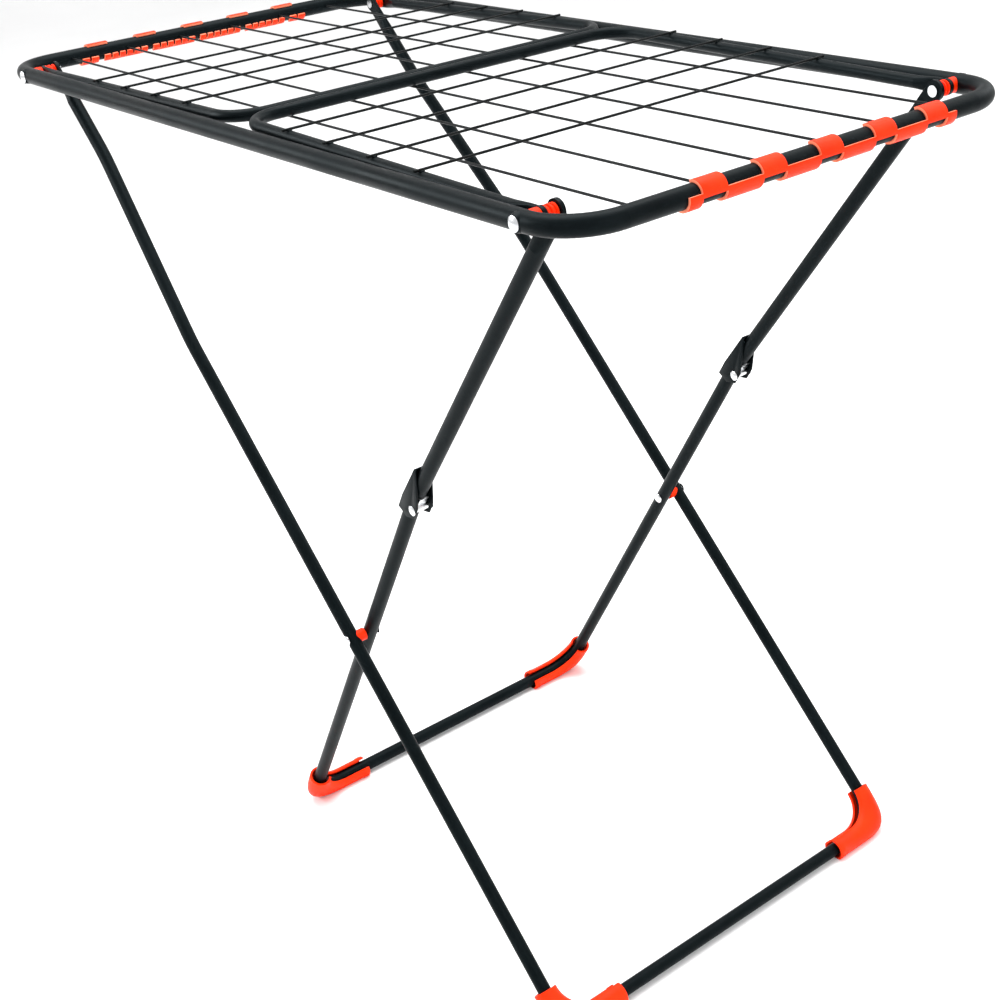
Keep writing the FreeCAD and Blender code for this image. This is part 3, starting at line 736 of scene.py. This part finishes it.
@dataclass
class FootCover:
    """Elbow cover on a corner of a leg: a C-shaped channel with a squared outer corner and flat sole."""

    name: str
    node: str
    body: Body
    finishes: Finishes
    corner: Vector
    up: Vector
    inward: Vector
    tube_r: float
    wall: float = 2.9 * MM
    bend: float = 45.0 * MM
    on_leg: float = 46.0 * MM
    on_bar: float = 76.0 * MM
    mouth: float = 10.0 * MM
    squareness: float = 4.3
    ring_faces: int = 44
    bend_steps: int = 18
    push_from: float = 0.35
    push_ease: float = 0.7
    collar: float = 8.0 * MM
    collar_step: float = 1.0 * MM
    collar_proud: float = 0.7 * MM
    edge: float = 0.5 * MM

    def axes(self) -> Axes:
        """Local X along the bar, Z up the leg, origin where their centre lines meet.

        Returns:
            The axes.
        """
        across = self.up.cross(self.inward).normalized()
        return Axes(self.corner, self.inward, across, self.up)

    def ring(self) -> bmesh.types.BMesh:
        """The open C section at the top of the leg's stretch, mouth towards +X.

        Returns:
            The section's edges.
        """
        bm = bmesh.new()
        outer = self.tube_r + self.wall
        bmesh.ops.create_circle(bm, segments=self.ring_faces, radius=outer)
        open_half = math.asin(self.mouth / 2 / outer)
        gone = [v for v in bm.verts if abs(math.atan2(v.co.y, v.co.x)) < open_half]
        bmesh.ops.delete(bm, geom=gone, context="VERTS")
        bmesh.ops.translate(bm, vec=(0, 0, self.on_leg), verts=bm.verts[:])
        return bm

    def extend(self, bm: bmesh.types.BMesh, rim: Edges, step: Vector, grow: float, hub: Vector) -> Edges:
        """Extrude an open end.

        Args:
            bm: The mesh.
            rim: Edges of the open end.
            step: How far it goes.
            grow: How far the new end stands out from the axis.
            hub: A point of the axis at the new end.

        Returns:
            Edges of the new end.
        """
        made = bmesh.ops.extrude_edge_only(bm, edges=rim)["geom"]
        verts = [v for v in made if isinstance(v, bmesh.types.BMVert)]
        bmesh.ops.translate(bm, vec=step, verts=verts)
        if grow:
            direction = step.normalized()
            for vert in verts:
                spoke = vert.co - hub
                spoke -= direction * spoke.dot(direction)
                vert.co += spoke.normalized() * grow
        return [e for e in made if isinstance(e, bmesh.types.BMEdge)]

    def channel(self) -> bmesh.types.BMesh:
        """The open channel down the leg, round the bend and along the bar.

        Returns:
            The channel's outer skin.
        """
        bm = self.ring()
        top = bm.edges[:]
        down, along = Vector((0, 0, -1)), Vector((1, 0, 0))
        rim = self.extend(bm, top, down * (self.on_leg - self.bend), 0.0, Vector())
        made = bmesh.ops.spin(bm, geom=rim + list({v for e in rim for v in e.verts}),
                              cent=(self.bend, 0, self.bend), axis=(0, -1, 0), angle=math.pi / 2,
                              steps=self.bend_steps, use_duplicate=False)["geom_last"]
        rim = [e for e in made if isinstance(e, bmesh.types.BMEdge)]
        hub = Vector((self.on_bar - self.collar, 0, 0))
        rim = self.extend(bm, rim, along * (hub.x - self.bend), 0.0, hub)
        rim = self.extend(bm, rim, along * self.collar_step, self.collar_proud, hub)
        rim = self.extend(bm, rim, along * (self.collar - 2 * self.collar_step), 0.0, hub)
        self.extend(bm, rim, along * self.collar_step, -self.collar_proud / 2, hub)
        return bm

    def square_off(self, point: Vector) -> Vector:
        """Push the outside of the bend out towards a square corner.

        Args:
            point: A point of the channel in local axes.

        Returns:
            Where the point goes.
        """
        centre = Vector((self.bend, 0, self.bend))
        spoke = point - centre
        if spoke.x > 0 or spoke.z > 0:
            return point
        flat = Vector((spoke.x, 0, spoke.z))
        reach = flat.length
        outer = self.tube_r + self.wall
        depth = (reach - self.bend + self.push_from * outer) / ((1 + self.push_from) * outer)
        weight = min(max(depth, 0.0), 1.0) ** self.push_ease
        unit = flat.normalized()
        power = self.squareness
        square = (abs(unit.x) ** power + abs(unit.z) ** power) ** (-1 / power)
        moved = flat * (1 + (square - 1) * weight)
        return centre + Vector((moved.x, spoke.y, moved.z))

    def make(self) -> None:
        """Build the cover, square its corner, thicken it and flatten its sole."""
        bm = self.channel()
        bmesh.ops.remove_doubles(bm, verts=bm.verts[:], dist=1e-6)
        for vert in bm.verts:
            vert.co = self.square_off(vert.co)
        bmesh.ops.recalc_face_normals(bm, faces=bm.faces[:])
        probe = max(bm.faces, key=lambda f: f.calc_center_median().x)
        axis_to_face = probe.calc_center_median()
        axis_to_face.x = 0
        if probe.normal.dot(axis_to_face) < 0:
            bmesh.ops.reverse_faces(bm, faces=bm.faces[:])
        bmesh.ops.solidify(bm, geom=bm.faces[:], thickness=-self.wall)
        bmesh.ops.recalc_face_normals(bm, faces=bm.faces[:])
        round_edges(bm, self.edge, degrees=60.0)
        bmesh.ops.transform(bm, matrix=self.axes().matrix(), verts=bm.verts[:])
        for vert in bm.verts:
            vert.co.z = max(vert.co.z, 0.0)
        if bm.calc_volume(signed=True) < 0:
            bmesh.ops.reverse_faces(bm, faces=bm.faces[:])
        Piece(self.name, self.body, Slot.ORANGE, (self.node,)).make(
            bm, [self.finishes.by_slot[Slot.ORANGE]], crease=40.0)


@dataclass
class KneeBrackets:
    """The folded knee channels with their edges broken."""

    finishes: Finishes
    edge: float = 0.35 * MM
    flat: float = 1.0
    sharp: float = 30.0

    def make(self) -> None:
        """Copy each packed bracket, merge it and break its edges."""
        for side in ("near", "far"):
            node = f"knee_bracket_{side}"
            bm = bmesh.new()
            bm.from_mesh(frame["nodes"][node].data)
            bmesh.ops.remove_doubles(bm, verts=bm.verts[:], dist=1e-6)
            bmesh.ops.dissolve_limit(bm, angle_limit=math.radians(self.flat), verts=bm.verts[:],
                                     edges=bm.edges[:])
            round_edges(bm, self.edge, degrees=self.sharp)
            Piece(f"knee_channel_{side}", Body.INNER, Slot.TUBE, (node,)).make(
                bm, [self.finishes.by_slot[Slot.TUBE]])


@dataclass
class Feet:
    """The four foot covers, placed on the legs' lower corners."""

    finishes: Finishes
    outer_r: float = 7.5 * MM
    inner_r: float = 8.0 * MM
    outer_lean: float = 0.63
    pin_offset: float = 10.0 * MM

    def outer(self) -> tuple[Vector, Vector]:
        """Corner of the outer leg on the far side, and the direction up the leg.

        Returns:
            The corner and the direction.
        """
        low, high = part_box("outer_leg_tube")
        corner = Vector((high.x - self.outer_r, high.y - self.outer_r, low.z + self.outer_r))
        rise = pivot("leg_fold") - corner
        rise.y = 0
        rise.normalize()
        lean = math.tan(math.radians(self.outer_lean))
        return corner, Vector((rise.x, -lean, rise.z)).normalized()

    def inner(self) -> tuple[Vector, Vector]:
        """Corner of the inner leg on the far side, and the direction up the leg.

        Returns:
            The corner and the direction.
        """
        low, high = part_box("inner_leg_tube")
        corner = Vector((low.x + self.inner_r, high.y - self.inner_r, low.z + self.inner_r))
        to_knee = pivot("knee_fold") - corner
        to_knee.y = 0
        turn = math.asin(self.pin_offset / to_knee.length)
        angle = math.atan2(to_knee.z, to_knee.x) + turn
        return corner, Vector((math.cos(angle), 0, math.sin(angle)))

    def make(self) -> None:
        """Make the covers, the near ones mirrored from the far ones."""
        for leg, body, radius, (corner, up) in (("outer", Body.OUTER, self.outer_r, self.outer()),
                                                ("inner", Body.INNER, self.inner_r, self.inner())):
            for side, sign in (("near", -1), ("far", 1)):
                FootCover(f"{leg}_foot_elbow_{side}", f"{leg}_foot_cover_{side}", body, self.finishes,
                          Vector((corner.x, sign * corner.y, corner.z)),
                          Vector((up.x, sign * up.y, up.z)), Vector((0, -sign, 0)), radius).make()


# ---- Stage -----------------------------------------------------------------------------

@dataclass
class Softbox:
    """A large soft area light aimed at a point."""

    name: str
    place: Vector
    size: tuple[float, float]
    power: float
    tint: Colour = (1.0, 1.0, 1.0)

    def make(self, target: Vector) -> None:
        """Hang the light.

        Args:
            target: The point that it faces.
        """
        data = bpy.data.lights.new(self.name, "AREA")
        data.shape = "RECTANGLE"
        data.size, data.size_y = self.size
        data.energy = self.power
        data.color = self.tint
        lamp = bpy.data.objects.new(self.name, data)
        lamp.location = self.place
        lamp.rotation_euler = (target - self.place).to_track_quat("-Z", "Y").to_euler()
        bpy.context.scene.collection.objects.link(lamp)


@dataclass
class Studio:
    """Pale seamless sweep, soft lights and a bright surround."""

    flat_radius: float = 7.0
    curve_radius: float = 3.5
    wall_height: float = 3.0
    surround: float = 1.0
    faces_round: int = 72

    def sweep(self) -> None:
        """A round floor that curves up into a wall all round."""
        bm = bmesh.new()
        curve = [(self.flat_radius + self.curve_radius * math.sin(a), self.curve_radius * (1 - math.cos(a)))
                 for a in (math.radians(15 * i) for i in range(7))]
        top = (curve[-1][0], curve[-1][1] + self.wall_height)
        points = [bm.verts.new((x, 0, z)) for x, z in [(0.0, 0.0)] + curve + [top]]
        for first, second in zip(points, points[1:]):
            bm.edges.new((first, second))
        bmesh.ops.spin(bm, geom=bm.verts[:] + bm.edges[:], cent=(0, 0, 0), axis=(0, 0, 1),
                       angle=2 * math.pi, steps=self.faces_round, use_merge=True)
        bmesh.ops.remove_doubles(bm, verts=bm.verts[:], dist=1e-5)
        bmesh.ops.recalc_face_normals(bm, faces=bm.faces[:])
        for face in bm.faces:
            face.smooth = True
        mesh = bpy.data.meshes.new("studio_sweep")
        bm.to_mesh(mesh)
        bm.free()
        mesh.materials.append(Paper().material())
        floor = bpy.data.objects.new("studio_sweep", mesh)
        bpy.context.scene.collection.objects.link(floor)

    def lights(self) -> None:
        """Overhead, side and back softboxes, and the surround."""
        target = (CAD_BOX[0] + CAD_BOX[1]) / 2
        Softbox("overhead", Vector((-0.6, 0.4, 3.8)), (3.4, 2.6), 160.0).make(target)
        Softbox("front_left", Vector((-2.6, -2.6, 2.2)), (2.0, 1.6), 90.0, (0.94, 0.98, 1.0)).make(target)
        Softbox("right", Vector((3.4, 0.2, 1.6)), (1.4, 2.2), 22.0).make(target)
        Softbox("back", Vector((0.4, 3.4, 2.4)), (2.6, 1.2), 30.0, (0.96, 0.99, 1.0)).make(target)
        world = bpy.data.worlds.new("surround")
        world.use_nodes = True
        background = world.node_tree.nodes["Background"]
        background.inputs["Color"].default_value = (1.0, 1.0, 1.0, 1.0)
        background.inputs["Strength"].default_value = self.surround
        bpy.context.scene.world = world
        bpy.context.scene.view_settings.view_transform = "Standard"

    def make(self) -> None:
        """Build the stage."""
        self.sweep()
        self.lights()


@dataclass
class ViewCamera:
    """The camera in front of the rack's right end, looking down along it."""

    place: Vector = Vector((1.4042, -0.9221, 1.2462))
    yaw: float = 52.715
    pitch: float = 29.98
    roll: float = -5.215
    lens: float = 56.64
    shift: tuple[float, float] = (-0.100, 0.091)
    sensor: float = 36.0

    def make(self) -> None:
        """Set up the scene's camera."""
        yaw, pitch, roll = (math.radians(angle) for angle in (self.yaw, self.pitch, self.roll))
        ahead = Vector((-math.sin(yaw) * math.cos(pitch), math.cos(yaw) * math.cos(pitch), -math.sin(pitch)))
        level = Vector((math.cos(yaw), math.sin(yaw), 0))
        upright = level.cross(ahead)
        right = level * math.cos(roll) + upright * math.sin(roll)
        up = upright * math.cos(roll) - level * math.sin(roll)
        data = bpy.data.cameras.new("view_camera")
        data.sensor_width = self.sensor
        data.lens = self.lens
        data.shift_x, data.shift_y = self.shift
        data.clip_end = 60.0
        camera = bpy.data.objects.new("view_camera", data)
        camera.matrix_world = Axes(self.place, right, up, -ahead).matrix()
        bpy.context.scene.collection.objects.link(camera)
        bpy.context.scene.camera = camera


def main() -> None:
    """Dress the rack, add its detailed pieces and set the stage."""
    logging.basicConfig(level=logging.INFO, format="%(name)s: %(message)s")
    finishes = Finishes()
    finishes.dress_frame()
    for side in (-1, 1):
        EndStrip(side, finishes).make()
    FramePivots(finishes).make()
    WingWelds("left", Body.WING_LEFT, finishes).make()
    WingWelds("right", Body.WING_RIGHT, finishes).make()
    KneeBrackets(finishes).make()
    Feet(finishes).make()
    Studio().make()
    ViewCamera().make()


if __name__ == "__main__":
    main()
